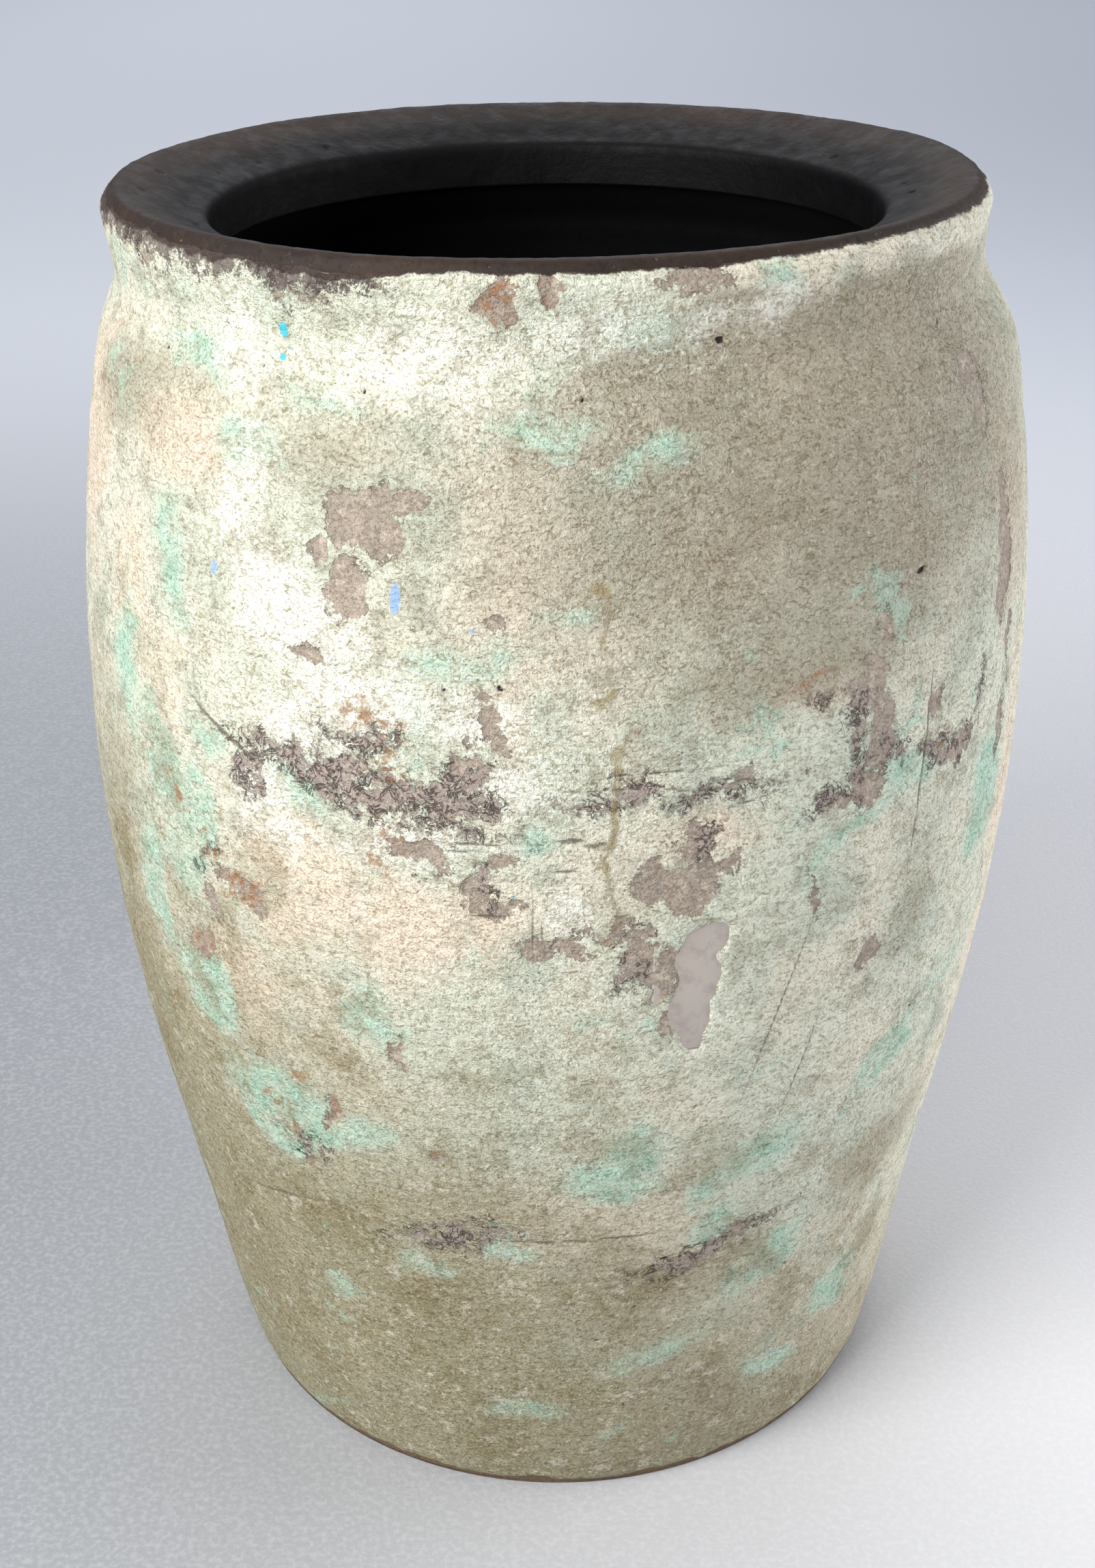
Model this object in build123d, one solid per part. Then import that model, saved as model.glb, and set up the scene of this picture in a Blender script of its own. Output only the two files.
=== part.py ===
"""A hand-built clay drum body: a barrel-shaped pot with a thick bevelled lip, painted outside.

Every part is a ring or disc turned about the Z axis, except one oval plug of filler.
The pot stands on Z = 0 and its front faces -Y. Lengths are in millimetres.
"""
from build123d import *
import os

# Heights
LIP_WIDEST_Z = 373.0        # where the flared lip is widest
PAINT_TOP_Z = 376.5         # the paint ends and the dark lip coat starts
CREST_Z = 379.0             # top of the clay; the lip coat brings it to 380
BEVEL_TOP_Z = 378.3
THROAT_Z = 370.0            # sharp inner corner of the bevel
THROAT_BOTTOM_Z = 361.0
NECK_Z = 360.0              # shallow groove under the lip; the lip coil starts here
COLLAR_Z = 335.0            # foot of the neck collar
SHOULDER_SEAM_Z = 250.0     # the belly and the shoulder meet under the worn belt
FOOT_SEAM_Z = 112.0         # the foot and the belly meet at a faint line
BELLY_Z = 232.0
FOOT_EDGE_Z = 6.0
FLOOR_THICKNESS = 16.0

# Radii of the bare clay
FOOT_R = 107.0
FOOT_EDGE_R = 108.3
BELLY_R = 137.8
NECK_R = 118.2
LIP_R = 119.3
CREST_R = 116.2
BEVEL_TOP_R = 113.6
THROAT_R = 93.5

# The outside of the clay between the foot edge and the neck, as (radius, height)
OUTER_CURVE = [
    (FOOT_EDGE_R, FOOT_EDGE_Z),
    (117.9, 60.0),
    (133.9, 160.0),
    (BELLY_R, BELLY_Z),
    (133.4, 300.0),
    (128.6, 330.0),
    (123.6, 347.0),
    (NECK_R, NECK_Z),
]

# The hollow inside the clay, from the floor to just under the lip
INNER_CURVE = [
    (92.0, FLOOR_THICKNESS),
    (104.0, 60.0),
    (119.5, 160.0),
    (123.5, BELLY_Z),
    (119.0, 300.0),
    (108.0, 345.0),
    (THROAT_R, THROAT_BOTTOM_Z),
]

# Coats
UNDERCOAT = 0.5
SKIN = 1.0                  # undercoat and topcoat together; also the lip coat and the inner slip
UNDERCOAT_FOOT_Z = 3.0      # both coats stop short of the ground
TOPCOAT_FOOT_Z = 6.0
SLIP_TOP_Z = 361.0          # the inner slip stops where the lip coat starts

# Oval plug of filler at the front, a little to the right
PLUG_TURN = 15.0            # degrees from the front, towards +X
PLUG_Z = 200.0
PLUG_HALF_WIDTH = 7.0
PLUG_HALF_HEIGHT = 18.0
PLUG_DEPTH = 5.0


def outer_region(extra):
    """Half section of everything inside the outer surface, moved outwards by extra."""
    curve = [(r + extra, z) for r, z in OUTER_CURVE]
    lip_widest = (LIP_R + extra, LIP_WIDEST_Z)
    crest = (CREST_R, CREST_Z + extra)
    bevel_top = (BEVEL_TOP_R, BEVEL_TOP_Z + extra)
    throat = (THROAT_R, THROAT_Z + extra)
    wall = Spline(curve, tangents=[(0.25, 1), (0.1, 1)])
    lines = [
        Line((0, 0), (FOOT_R, 0)),
        Line((FOOT_R, 0), curve[0]),
        wall,
        ThreePointArc(curve[-1], (LIP_R - 0.6 + extra, 367.0), lip_widest),
        ThreePointArc(lip_widest, (LIP_R - 0.6 + extra, 376.8 + 0.5 * extra), crest),
        ThreePointArc(crest, ((CREST_R + BEVEL_TOP_R) / 2, 378.8 + extra), bevel_top),
        Line(bevel_top, throat),
        Line(throat, (0, throat[1])),
        Line((0, throat[1]), (0, 0)),
    ]
    return make_face(lines)


def hollow_region(extra):
    """Half section of the hollow and its mouth, shrunk by extra."""
    curve = [(r - extra, z) for r, z in INNER_CURVE]
    curve[0] = (curve[0][0], FLOOR_THICKNESS + extra)
    curve[-1] = (curve[-1][0], THROAT_BOTTOM_Z - extra)
    above = CREST_Z + 20
    lines = [
        Line((0, curve[0][1]), curve[0]),
        Spline(curve[:-1], tangents=[(0.5, 1), (-0.45, 1)]),
        Line(curve[-2], curve[-1]),
        Line(curve[-1], (curve[-1][0], above)),
        Line((curve[-1][0], above), (0, above)),
        Line((0, above), (0, curve[0][1])),
    ]
    return make_face(lines)


def band(r_low, r_high, z_low, z_high):
    """A rectangle of the half section."""
    return Pos((r_low + r_high) / 2, (z_low + z_high) / 2) * Rectangle(r_high - r_low, z_high - z_low)


def turned(region):
    """Turn a half section about the Z axis."""
    return revolve(Plane.XZ * region, Axis.Z)


def plug_blank():
    """An oval bar that runs outwards from the Z axis where the plug sits."""
    outwards = Vector(0, -1, 0).rotate(Axis.Z, PLUG_TURN)
    sideways = Vector(1, 0, 0).rotate(Axis.Z, PLUG_TURN)
    plane = Plane(origin=(0, 0, PLUG_Z), x_dir=sideways, z_dir=outwards)
    return extrude(plane * Ellipse(PLUG_HALF_WIDTH, PLUG_HALF_HEIGHT), amount=200)


clay = outer_region(0) - hollow_region(0)
coated = outer_region(SKIN) - hollow_region(SKIN)
skin = coated - clay

FLOOR_R = INNER_CURVE[0][0]
MIDDLE_R = 112.0            # between the throat and the outside of the lip
HIGH = CREST_Z + 30

# Clay
floor_slab = clay & band(0, FLOOR_R, 0, FLOOR_THICKNESS)
walls = clay - band(0, FLOOR_R, -1, FLOOR_THICKNESS)
foot_wall = walls & band(0, 200, 0, FOOT_SEAM_Z)
belly_wall = walls & band(0, 200, FOOT_SEAM_Z, SHOULDER_SEAM_Z)
shoulder_wall = walls & band(0, 200, SHOULDER_SEAM_Z, COLLAR_Z)
neck_collar = walls & band(0, 200, COLLAR_Z, NECK_Z)
lip_coil = walls & band(0, 200, NECK_Z, HIGH)

# Coats
under_lip = band(100, 200, UNDERCOAT_FOOT_Z, THROAT_Z) + band(MIDDLE_R, 200, THROAT_Z, PAINT_TOP_Z)
undercoat = (outer_region(UNDERCOAT) - outer_region(0)) & under_lip
topcoat = (outer_region(SKIN) - outer_region(UNDERCOAT)) & under_lip & band(100, 200, TOPCOAT_FOOT_Z, PAINT_TOP_Z)
lip_coat = (skin & band(MIDDLE_R, 200, PAINT_TOP_Z, HIGH)) + (skin & band(80, MIDDLE_R, SLIP_TOP_Z, HIGH))
inner_slip = (hollow_region(0) - hollow_region(SKIN)) & band(0, 200, 0, SLIP_TOP_Z)

blank = plug_blank()
plug_bed = turned(outer_region(-PLUG_DEPTH))
filler_plug = (turned(outer_region(SKIN)) & blank) - plug_bed
pocket = blank - plug_bed

nodes = {
    "floor_slab": turned(floor_slab),
    "foot_wall": turned(foot_wall),
    "belly_wall": turned(belly_wall) - pocket,
    "shoulder_wall": turned(shoulder_wall),
    "neck_collar": turned(neck_collar),
    "lip_coil": turned(lip_coil),
    "lip_coat": turned(lip_coat),
    "inner_slip": turned(inner_slip),
    "undercoat": turned(undercoat) - pocket,
    "topcoat": turned(topcoat) - pocket,
    "filler_plug": filler_plug,
}

os.makedirs("parts", exist_ok=True)
for name, shape in nodes.items():
    print(name, len(shape.solids()), "solid(s)", round(shape.volume / 1000, 1), "cm3")
    export_step(shape.solid(), f"parts/{name}.step")
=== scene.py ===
"""Looks for a hand-built clay drum body with worn paint, in metres.

The CAD frame gives the sizes. The clay sections, the lip's coat and the inner slip are replaced by
turned rings that follow their sections and are a little uneven. The undercoat and the topcoat share one
painted surface: its points carry fields of wear and of painted shade, and its material shows either paint
or the clay by them.
Places on the wall are an angle in degrees and a height in millimetres: 0 degrees is the front (-Y) and
90 degrees is +X.
"""
import math

import bmesh
import bpy
import numpy as np
from mathutils import Matrix, Vector


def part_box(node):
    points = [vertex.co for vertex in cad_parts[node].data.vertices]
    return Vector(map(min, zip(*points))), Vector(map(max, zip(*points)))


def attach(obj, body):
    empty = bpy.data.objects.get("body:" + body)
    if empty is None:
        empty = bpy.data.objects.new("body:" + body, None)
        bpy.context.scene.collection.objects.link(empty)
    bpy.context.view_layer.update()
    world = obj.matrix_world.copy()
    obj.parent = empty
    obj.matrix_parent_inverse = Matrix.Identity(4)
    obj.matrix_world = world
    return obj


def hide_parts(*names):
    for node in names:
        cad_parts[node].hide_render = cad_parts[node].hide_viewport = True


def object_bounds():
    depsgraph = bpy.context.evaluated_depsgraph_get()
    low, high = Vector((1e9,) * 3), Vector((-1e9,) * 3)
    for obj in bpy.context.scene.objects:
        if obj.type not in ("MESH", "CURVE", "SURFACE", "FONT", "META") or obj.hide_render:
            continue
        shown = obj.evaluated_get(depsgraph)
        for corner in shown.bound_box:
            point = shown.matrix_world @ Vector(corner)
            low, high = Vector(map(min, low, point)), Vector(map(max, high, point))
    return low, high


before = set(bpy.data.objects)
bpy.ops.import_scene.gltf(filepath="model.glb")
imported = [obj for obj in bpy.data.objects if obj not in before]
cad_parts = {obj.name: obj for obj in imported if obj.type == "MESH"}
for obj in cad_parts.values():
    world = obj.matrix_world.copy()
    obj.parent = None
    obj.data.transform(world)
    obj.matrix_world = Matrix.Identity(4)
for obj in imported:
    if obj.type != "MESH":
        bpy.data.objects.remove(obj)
cad_box = [list(corner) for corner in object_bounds()]

MM = 0.001
HEIGHT = cad_box[1][2]
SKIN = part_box("topcoat")[1].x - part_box("belly_wall")[1].x
PAINT_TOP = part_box("topcoat")[1].z
COARSE = 1
AROUND = 1100 // COARSE     # points round the painted wall and the lip
PLAIN_AROUND = 240          # points round the clay, which hardly shows
WALL_R = 130.0              # the wall's usual radius in millimetres, to turn degrees into lengths
CLAY_NODES = ["foot_wall", "belly_wall", "shoulder_wall", "neck_collar", "lip_coil"]

# ---------------------------------------------------------------- camera and light


def look(position, pitch, turn, roll):
    """A camera's matrix: it looks along +Y, then turns right, tips down and rolls, in degrees."""
    turned = Matrix.Rotation(math.radians(-turn), 3, "Z")
    tipped = Matrix.Rotation(math.radians(90 - pitch), 3, "X")
    rolled = Matrix.Rotation(math.radians(roll), 3, "Z")
    matrix = (turned @ tipped @ rolled).to_4x4()
    matrix.translation = position
    return matrix


FOOT_R = 0.106      # metres; the camera's place was worked out in foot radii
camera = bpy.data.objects.new("camera", bpy.data.cameras.new("camera"))
camera.data.lens = 47.0
camera.matrix_world = look((0, -5.42 * FOOT_R, 4.59 * FOOT_R), 27.3, -0.24, -0.34)
bpy.context.collection.objects.link(camera)
bpy.context.scene.camera = camera


def lamp(name, turn, elevation, distance, size, power, colour, aim=(0, 0, HEIGHT * 0.55)):
    """A square soft light that stands off from the point it aims at: the middle of the pot, or aim."""
    data = bpy.data.lights.new(name, "AREA")
    data.size = size
    data.energy = power
    data.color = colour
    turn, elevation = math.radians(turn), math.radians(elevation)
    spot = bpy.data.objects.new(name, data)
    away = np.array([
        math.sin(turn) * math.cos(elevation),
        -math.cos(turn) * math.cos(elevation),
        math.sin(elevation),
    ])
    spot.location = np.array(aim) + distance * away
    spot.rotation_euler = Vector(away).to_track_quat("Z", "Y").to_euler()
    bpy.context.collection.objects.link(spot)


lamp("window", -42, 30, 1.2, 0.7, 21, (1.0, 0.99, 0.96))
lamp("room_right", 96, 4, 1.5, 1.0, 25, (0.98, 0.99, 1.0))
lamp("ceiling", 170, 62, 1.8, 1.5, 7, (0.93, 0.96, 1.0))
lamp("far_floor", 178, 65, 3.0, 3.0, 46, (0.93, 0.96, 1.0), (0, 2.5, 0))

world = bpy.data.worlds.new("room")
world.use_nodes = True
world.node_tree.nodes["Background"].inputs["Color"].default_value = (0.80, 0.84, 0.92, 1)
world.node_tree.nodes["Background"].inputs["Strength"].default_value = 0.34
bpy.context.scene.world = world
bpy.context.scene.view_settings.view_transform = "Standard"

# ---------------------------------------------------------------- repeatable noise


def lattice(i, j, k, seed):
    """A repeatable number from -1 to 1 for each whole-number point, by multiplying and mixing its bits."""
    n = i * 374761393 + j * 668265263 + k * 1440662683 + seed * 1274126177
    n = n & 0xFFFFFFFF
    n = ((n ^ (n >> 13)) * 1274126177) & 0xFFFFFFFF
    n = n ^ (n >> 16)
    return (n & 0xFFFF) / 32767.5 - 1


def noise(points, size, seed):
    """Smooth noise from -1 to 1, with bumps about size across."""
    scaled = points / size
    low = np.floor(scaled)
    part = scaled - low
    part = part * part * (3 - 2 * part)
    i, j, k = (low[..., n].astype(np.int64) for n in range(3))
    total = 0
    for a in (0, 1):
        for b in (0, 1):
            for c in (0, 1):
                weight = (
                    (part[..., 0] if a else 1 - part[..., 0])
                    * (part[..., 1] if b else 1 - part[..., 1])
                    * (part[..., 2] if c else 1 - part[..., 2])
                )
                total = total + weight * lattice(i + a, j + b, k + c, seed)
    return total


def rough_noise(points, size, seed, layers=3):
    """Noise with finer noise on top of it."""
    total = 0
    for n in range(layers):
        total = total + noise(points, size / 2**n, seed + n) / 1.7**n
    return total


def smooth_step(value, low, high):
    """0 up to low, 1 from high, and an easy slope between; low may be the larger."""
    t = np.clip((value - low) / (high - low), 0, 1)
    return t * t * (3 - 2 * t)


# ---------------------------------------------------------------- sections read from the CAD


def section_sides(node):
    """The inner and outer (radius, height) points of a CAD ring, from the bottom up."""
    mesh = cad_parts[node].data
    flat = np.empty(len(mesh.vertices) * 3)
    mesh.vertices.foreach_get("co", flat)
    x, y, z = flat.reshape(-1, 3).T
    rings, counts = np.unique(np.round(np.stack([np.hypot(x, y), z], 1), 5), axis=0, return_counts=True)
    rings = rings[counts > 24]      # whole rings, not the pocket's edge
    r, z = rings.T
    low, high = z.min(), z.max()
    at_low, at_high = r[z < low + 1e-4], r[z > high - 1e-4]
    middle_low = (at_low.min() + at_low.max()) / 2
    middle_high = (at_high.min() + at_high.max()) / 2
    is_outer = r >= middle_low + (middle_high - middle_low) * (z - low) / (high - low)
    sides = []
    for chosen in (~is_outer, is_outer):
        side = rings[chosen]
        sides.append(side[np.argsort(side[:, 1])])
    return sides


def outer_wall():
    """Heights and radii of the painted surface, a little smoothed, from the ground to the paint's top."""
    heights = np.arange(0, PAINT_TOP + 3 * MM, 1 * MM)
    points = np.concatenate([section_sides(node)[1] for node in CLAY_NODES])
    points = points[np.argsort(points[:, 1])]
    radii = np.interp(heights, points[:, 1], points[:, 0]) + SKIN
    kernel = np.exp(-0.5 * (np.arange(-6, 7) / 2.5) ** 2)
    padded = np.pad(radii, 6, mode="reflect", reflect_type="odd")
    return heights, np.convolve(padded, kernel / kernel.sum(), "valid")


WALL_HEIGHTS, WALL_RADII = outer_wall()


def wall_radius(height):
    """Radius of the painted surface at a height, both in metres."""
    return np.interp(height, WALL_HEIGHTS, WALL_RADII)


# ---------------------------------------------------------------- meshes


def add_object(name, mesh):
    """Puts a mesh in the scene as an object of the same name."""
    added = bpy.data.objects.new(name, mesh)
    bpy.context.collection.objects.link(added)
    return added


def sheet_object(name, points, faces):
    """A smooth-shaded object from points and faces."""
    mesh = bpy.data.meshes.new(name)
    mesh.from_pydata(points.reshape(-1, 3).tolist(), [], faces)
    mesh.polygons.foreach_set("use_smooth", np.ones(len(faces), bool))
    return add_object(name, mesh)


def grid_quads(rows, columns):
    """The four corner numbers of each face of a grid of points."""
    quads = []
    for i in range(rows - 1):
        for j in range(columns - 1):
            a = i * columns + j
            quads.append((a, a + 1, a + columns + 1, a + columns))
    return quads


def bent(points):
    """Moves points as the potter's hand did: the axis wanders, the rim tilts, the wall isn't round.

    The round errors are shares of the radius, the lean is in millimetres, and the tilt is a slope.
    """
    moved = points.copy()
    x, y, z = points[..., 0], points[..., 1], points[..., 2]
    angle = np.arctan2(x, -y)
    round_error = 0.0022 * np.sin(2 * angle + 0.9) + 0.0016 * np.sin(3 * angle + 7 * z / HEIGHT)
    round_error = round_error + 0.0022 * noise(points, 55 * MM, 3)
    swell = 1 + round_error * smooth_step(z, 0.0, 0.03)
    lean = 1.2 * np.sin(2 * math.pi * (z - 0.24) / 0.44) - 2.8 * smooth_step(z, 0.335, 0.372)
    moved[..., 0] = x * swell + lean * MM
    moved[..., 1] = y * swell
    moved[..., 2] = z + (0.006 * x - 0.011 * y) * smooth_step(z, 0.30, HEIGHT)
    return moved


def turn_outline(name, outline, around, relief=None, merge=False):
    """A closed ring from a loop of (radius, height) points that runs up the outside and down the inside.

    relief(points, angle, height, row) gives how far each point is pushed out along the section's normal.
    """
    count = len(outline)
    along = np.roll(outline, -1, 0) - np.roll(outline, 1, 0)
    along /= np.maximum(np.hypot(along[:, 0], along[:, 1]), 1e-9)[:, None]
    normal = np.stack([along[:, 1], -along[:, 0]], 1)
    angle = np.linspace(-math.pi, math.pi, around, endpoint=False)[None, :]
    radius, height = outline[:, 0][:, None], outline[:, 1][:, None] + 0 * angle
    direction = np.stack([np.sin(angle), -np.cos(angle), 0 * angle], -1)
    points = radius[..., None] * direction
    points[..., 2] = height
    values = {}
    if relief:
        push, values = relief(points, np.degrees(angle) + 0 * height, height / MM, np.arange(count))
        push = push[..., None]
        points = points + push * (normal[:, 0][:, None, None] * direction)
        points[..., 2] += push[..., 0] * normal[:, 1][:, None]
    points = bent(points)
    rows, columns = np.meshgrid(np.arange(count), np.arange(around), indexing="ij")
    next_row, next_column = (rows + 1) % count, (columns + 1) % around
    corners = np.stack([
        rows * around + columns,
        rows * around + next_column,
        next_row * around + next_column,
        next_row * around + columns,
    ], -1).reshape(-1)
    mesh = bpy.data.meshes.new(name)
    mesh.vertices.add(count * around)
    mesh.vertices.foreach_set("co", points.reshape(-1))
    mesh.loops.add(len(corners))
    mesh.loops.foreach_set("vertex_index", corners)
    mesh.polygons.add(len(corners) // 4)
    mesh.polygons.foreach_set("loop_start", np.arange(0, len(corners), 4))
    mesh.update(calc_edges=True)
    mesh.polygons.foreach_set("use_smooth", np.ones(len(corners) // 4, bool))
    for key, value in values.items():
        layer = mesh.attributes.new(key, "FLOAT", "POINT")
        layer.data.foreach_set("value", np.ascontiguousarray(value, np.float32).reshape(-1))
    if merge:
        work = bmesh.new()
        work.from_mesh(mesh)
        bmesh.ops.remove_doubles(work, verts=work.verts, dist=0.01 * MM)
        work.to_mesh(mesh)
        work.free()
    return add_object(name, mesh)


# ---------------------------------------------------------------- where the wear is
# Each patch is (angle, height, half width, half height, tilt), with angle and tilt in degrees and the
# rest in millimetres. The wear was placed one by one.

BARE = [
    (-21.5, 322, 8.5, 6.5, 35), (-16.5, 328, 5.5, 4.0, -20), (-18.5, 321, 4.5, 7.0, 0),
    (-26.2, 313, 3.2, 4.0, 10), (-22.2, 305, 5.5, 7.5, -10), (-25.5, 288.5, 4.6, 1.7, -15),
    (-6.2, 301, 2.8, 3.2, 0), (-6.8, 276, 3.0, 8.0, 8), (-8.5, 264, 3.2, 5.0, 25),
    (-22.5, 262, 6.0, 4.0, -10), (-20.0, 254, 9.0, 2.6, -12), (-11.0, 253, 7.0, 2.4, 0),
    (-13.5, 240, 8.5, 3.4, -8), (-6.0, 239, 3.2, 3.0, 0), (-6.4, 226.5, 6.5, 2.6, 0),
    (-7.5, 231, 2.4, 5.5, 0), (-2.0, 213, 3.2, 3.4, 0), (1.6, 215.5, 4.5, 2.4, -20),
    (13.5, 231, 8.5, 7.0, 0), (17.0, 234.5, 7.0, 2.6, 28), (10.5, 233, 5.5, 5.5, -30),
    (13.5, 241.5, 4.0, 2.8, 0), (14.8, 245.5, 3.5, 2.5, 30), (6.2, 219.5, 7.5, 1.3, -10),
    (9.4, 213.5, 3.6, 6.5, 0), (11.2, 205, 4.0, 9.5, -12), (13.5, 191, 2.6, 6.5, -18),
    (36.5, 289, 3.0, 7.5, -6), (34.6, 275, 5.0, 7.0, 0), (36.4, 262, 4.8, 10.0, 0),
    (34.2, 248, 4.4, 6.5, 15), (30.6, 247, 3.0, 2.2, 40), (45.8, 262, 2.4, 6.0, -15),
    (50.5, 246, 2.8, 6.5, -30), (54.8, 342, 4.4, 7.0, 12), (55.3, 334, 2.6, 6.5, 0),
    (60.5, 301, 3.6, 11.0, 8), (60.5, 285, 5.2, 10.0, 0), (63.0, 268, 2.2, 8.0, 0),
    (62.0, 243, 2.4, 7.0, -10), (-43.5, 194, 3.4, 4.6, -30), (-41.0, 209, 2.0, 7.0, 20),
    (-34.5, 214, 4.5, 3.6, 10), (-37.5, 218, 6.0, 2.2, -30), (-17.0, 178.6, 2.0, 5.6, 18),
    (-26.4, 154, 1.8, 5.4, -12), (-14.0, 143, 1.8, 1.6, 0), (-5.4, 372.5, 4.6, 4.6, 0),
    (1.2, 373.8, 3.4, 2.4, 0), (16.4, 373.6, 8.2, 2.6, 0), (37.5, 196, 3.4, 4.5, -20),
    (29.2, 217, 1.2, 6.0, 12), (-30.6, 128, 2.2, 2.0, 0), (-12.0, 117, 6.0, 1.6, 12),
]
SPECKLED = [
    (-31.5, 261, 12, 6, -18), (-24.0, 259, 15, 9, -8), (-15.0, 257, 18, 9, 0), (-8.5, 259, 9, 9, 0),
    (-20.0, 272, 12, 4, 0), (-10.0, 246, 16, 4, 0), (-6.5, 231, 4, 6, 0), (15.0, 238, 8, 4, 0),
    (9.5, 208, 4, 9, -8), (33.0, 262, 5, 22, 0), (31.0, 244, 10, 5, 30), (46.0, 250, 12, 9, -20),
    (29.0, 279, 6, 4, 0), (6.0, 257, 14, 5, 0), (16.0, 252, 16, 4, 0), (-40.0, 222, 9, 3, 40),
    (-33.0, 138, 12, 4, -30), (-33.0, 252, 8, 7, 30), (-12.0, 112, 26, 5, 8), (-30.0, 374, 34, 4, 0),
    (-58.0, 371, 20, 4, 0), (22.0, 103, 28, 5, 12), (55.0, 262, 4, 9, -20), (40.0, 258, 5, 8, 0),
]
MINT = [
    (-44.0, 222, 13, 17, 10), (-36.0, 150, 19, 17, -35), (-26.0, 143, 12, 6, 20), (-15.5, 281, 5, 7, 0),
    (-38.0, 262, 8, 5, -30), (-28.0, 252, 8, 7, 0), (-26.0, 350.5, 9, 2.4, -6), (-45.0, 353, 13, 4, -8),
    (-35.5, 338, 9, 4, 0), (27.5, 371, 6, 4.5, 0), (12.0, 362, 12, 3.5, 0), (-2.0, 346, 9, 2.4, 0),
    (-1.0, 246, 4.4, 3.6, -30), (-0.5, 303, 4.5, 2.4, 0), (8.5, 141, 13, 9, 20), (45.0, 152, 16, 9, 25),
    (-18.0, 98, 6, 3.4, 0), (-31.0, 75, 7, 5, 0), (-4.0, 104, 4, 3, 0), (40.5, 246, 8, 9, 0),
    (35.4, 249, 2.6, 8, 0), (53.0, 262, 3, 3, 0), (-56.0, 262, 6, 26, 0), (-47.0, 300, 5, 12, 0),
    (22.0, 112, 10, 7, 15), (47.0, 60, 12, 10, 0), (9.0, 336, 10, 3.0, 0), (-20.0, 190, 8, 8, 0),
    (34.0, 232, 14, 4, 30), (-10.0, 292, 12, 4, 0), (60.0, 225, 9, 16, 0), (5.5, 190, 6, 3, 0),
    (30.0, 90, 16, 6, 20), (14.0, 62, 14, 5, 10), (-4.0, 36, 10, 4, 0), (34.0, 40, 10, 6, 0),
    (24.0, 134, 18, 8, 30),
    (-50.0, 246, 10, 16, 0), (-43.0, 241, 8, 14, -10), (-52.0, 205, 8, 20, 0), (-45.0, 180, 12, 14, -30),
]
WHITE = [
    (-35.5, 326, 5.0, 13, -4), (-31.0, 300, 9, 14, 10), (-25.0, 296, 12, 12, 0), (-20.0, 281, 18, 9, 0),
    (-8.0, 279, 9, 7, 0), (-14.0, 356, 18, 6, 0), (-38.0, 356, 8, 7, 0), (-62.5, 306, 1.1, 8, 0),
    (6.0, 362, 16, 4, 0), (-31.0, 250, 8, 9, 0), (17.5, 186, 5, 4, 20), (-16.0, 240, 14, 8, 0),
    (24.0, 363, 12, 4, 10), (-27.0, 270, 12, 10, 0), (-4.0, 262, 8, 6, 0), (2.0, 226, 7, 8, 0),
    (-30.0, 236, 10, 5, 0),
]
PEACH = [
    (-27.0, 224, 17, 18, 0), (-16.0, 214, 15, 14, 0), (-56.0, 285, 9, 22, 0), (-70.0, 322, 20, 28, 0),
    (-36.0, 190, 12, 14, 0), (-7.0, 222, 8, 10, 0), (28.0, 281, 9, 6, 0), (70.0, 200, 12, 60, 0),
    (16.0, 240, 13, 7, 0), (62.0, 300, 9, 26, 0), (-5.5, 285, 4, 22, 0), (-45.0, 330, 18, 12, 0),
]
DIRT = [
    (-58.0, 338, 22, 11, 0), (-24.0, 336, 12, 6, 0), (-35.0, 108, 14, 14, -20), (-14.0, 84, 24, 10, 0),
    (-50.0, 60, 20, 30, 0), (10.0, 92, 26, 8, 0), (-12.0, 122, 18, 4, 0), (44.0, 206, 6, 12, 0),
    (-50.0, 345, 14, 5, 0), (-62.0, 180, 10, 60, 0), (50.0, 110, 22, 12, 20), (24.0, 286, 24, 8, 10),
]
RUST = [
    (-19.0, 274, 7, 4.5, 0), (-17.0, 264, 4, 7, 0), (-17.5, 240, 4.0, 8, 0), (-43.5, 194, 3.6, 5, -30),
    (-17.0, 178.6, 2.4, 6, 18), (-26.4, 154, 2.2, 5.6, -12), (-14.0, 143, 2.2, 2, 0),
    (1.2, 373.8, 3.6, 2.6, 0),
    (-5.4, 372.5, 5, 5, 0), (-36.0, 216, 8, 6, 0), (27.0, 281, 6, 2.5, 0), (-31.0, 163, 5, 3, -20),
    (-36.5, 78, 5, 1.6, 0), (7.0, 271, 2, 3, 0), (46.5, 252, 5, 3, 0), (-35.0, 148, 6, 3, -40),
    (-33.0, 140, 3, 4, 20), (-40.0, 226, 6, 4, -30), (-46.0, 238, 3, 6, 20), (-50.0, 222, 3, 7, 20),
]
CYAN = [
    (-31.2, 361.5, 1.8, 2.4, 0), (-31.6, 355.2, 1.7, 1.2, 0), (-30.6, 357.6, 0.8, 1.4, 0),
    (-4.2, 229.8, 0.9, 1.0, 0), (-39.2, 303.8, 1.1, 2.2, 0), (-28.0, 318.0, 0.7, 0.8, 0),
]
BLUE = [(-16.7, 305, 1.5, 4.6, 0), (-39.2, 303.8, 1.2, 2.4, 0), (-8.6, 299, 1.2, 0.8, -20)]
DRIP = [(3.9, 308, 2.2, 2.0, 0), (4.5, 297, 0.9, 12, 0), (4.7, 284.5, 1.5, 2.6, 0), (5.5, 250, 1.2, 32, 0)]
FILLER = [(15.6, 206, 5.6, 11.5, 8), (15.0, 192, 4.6, 13.0, 8), (17.0, 215, 4.2, 5.0, 0)]
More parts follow.
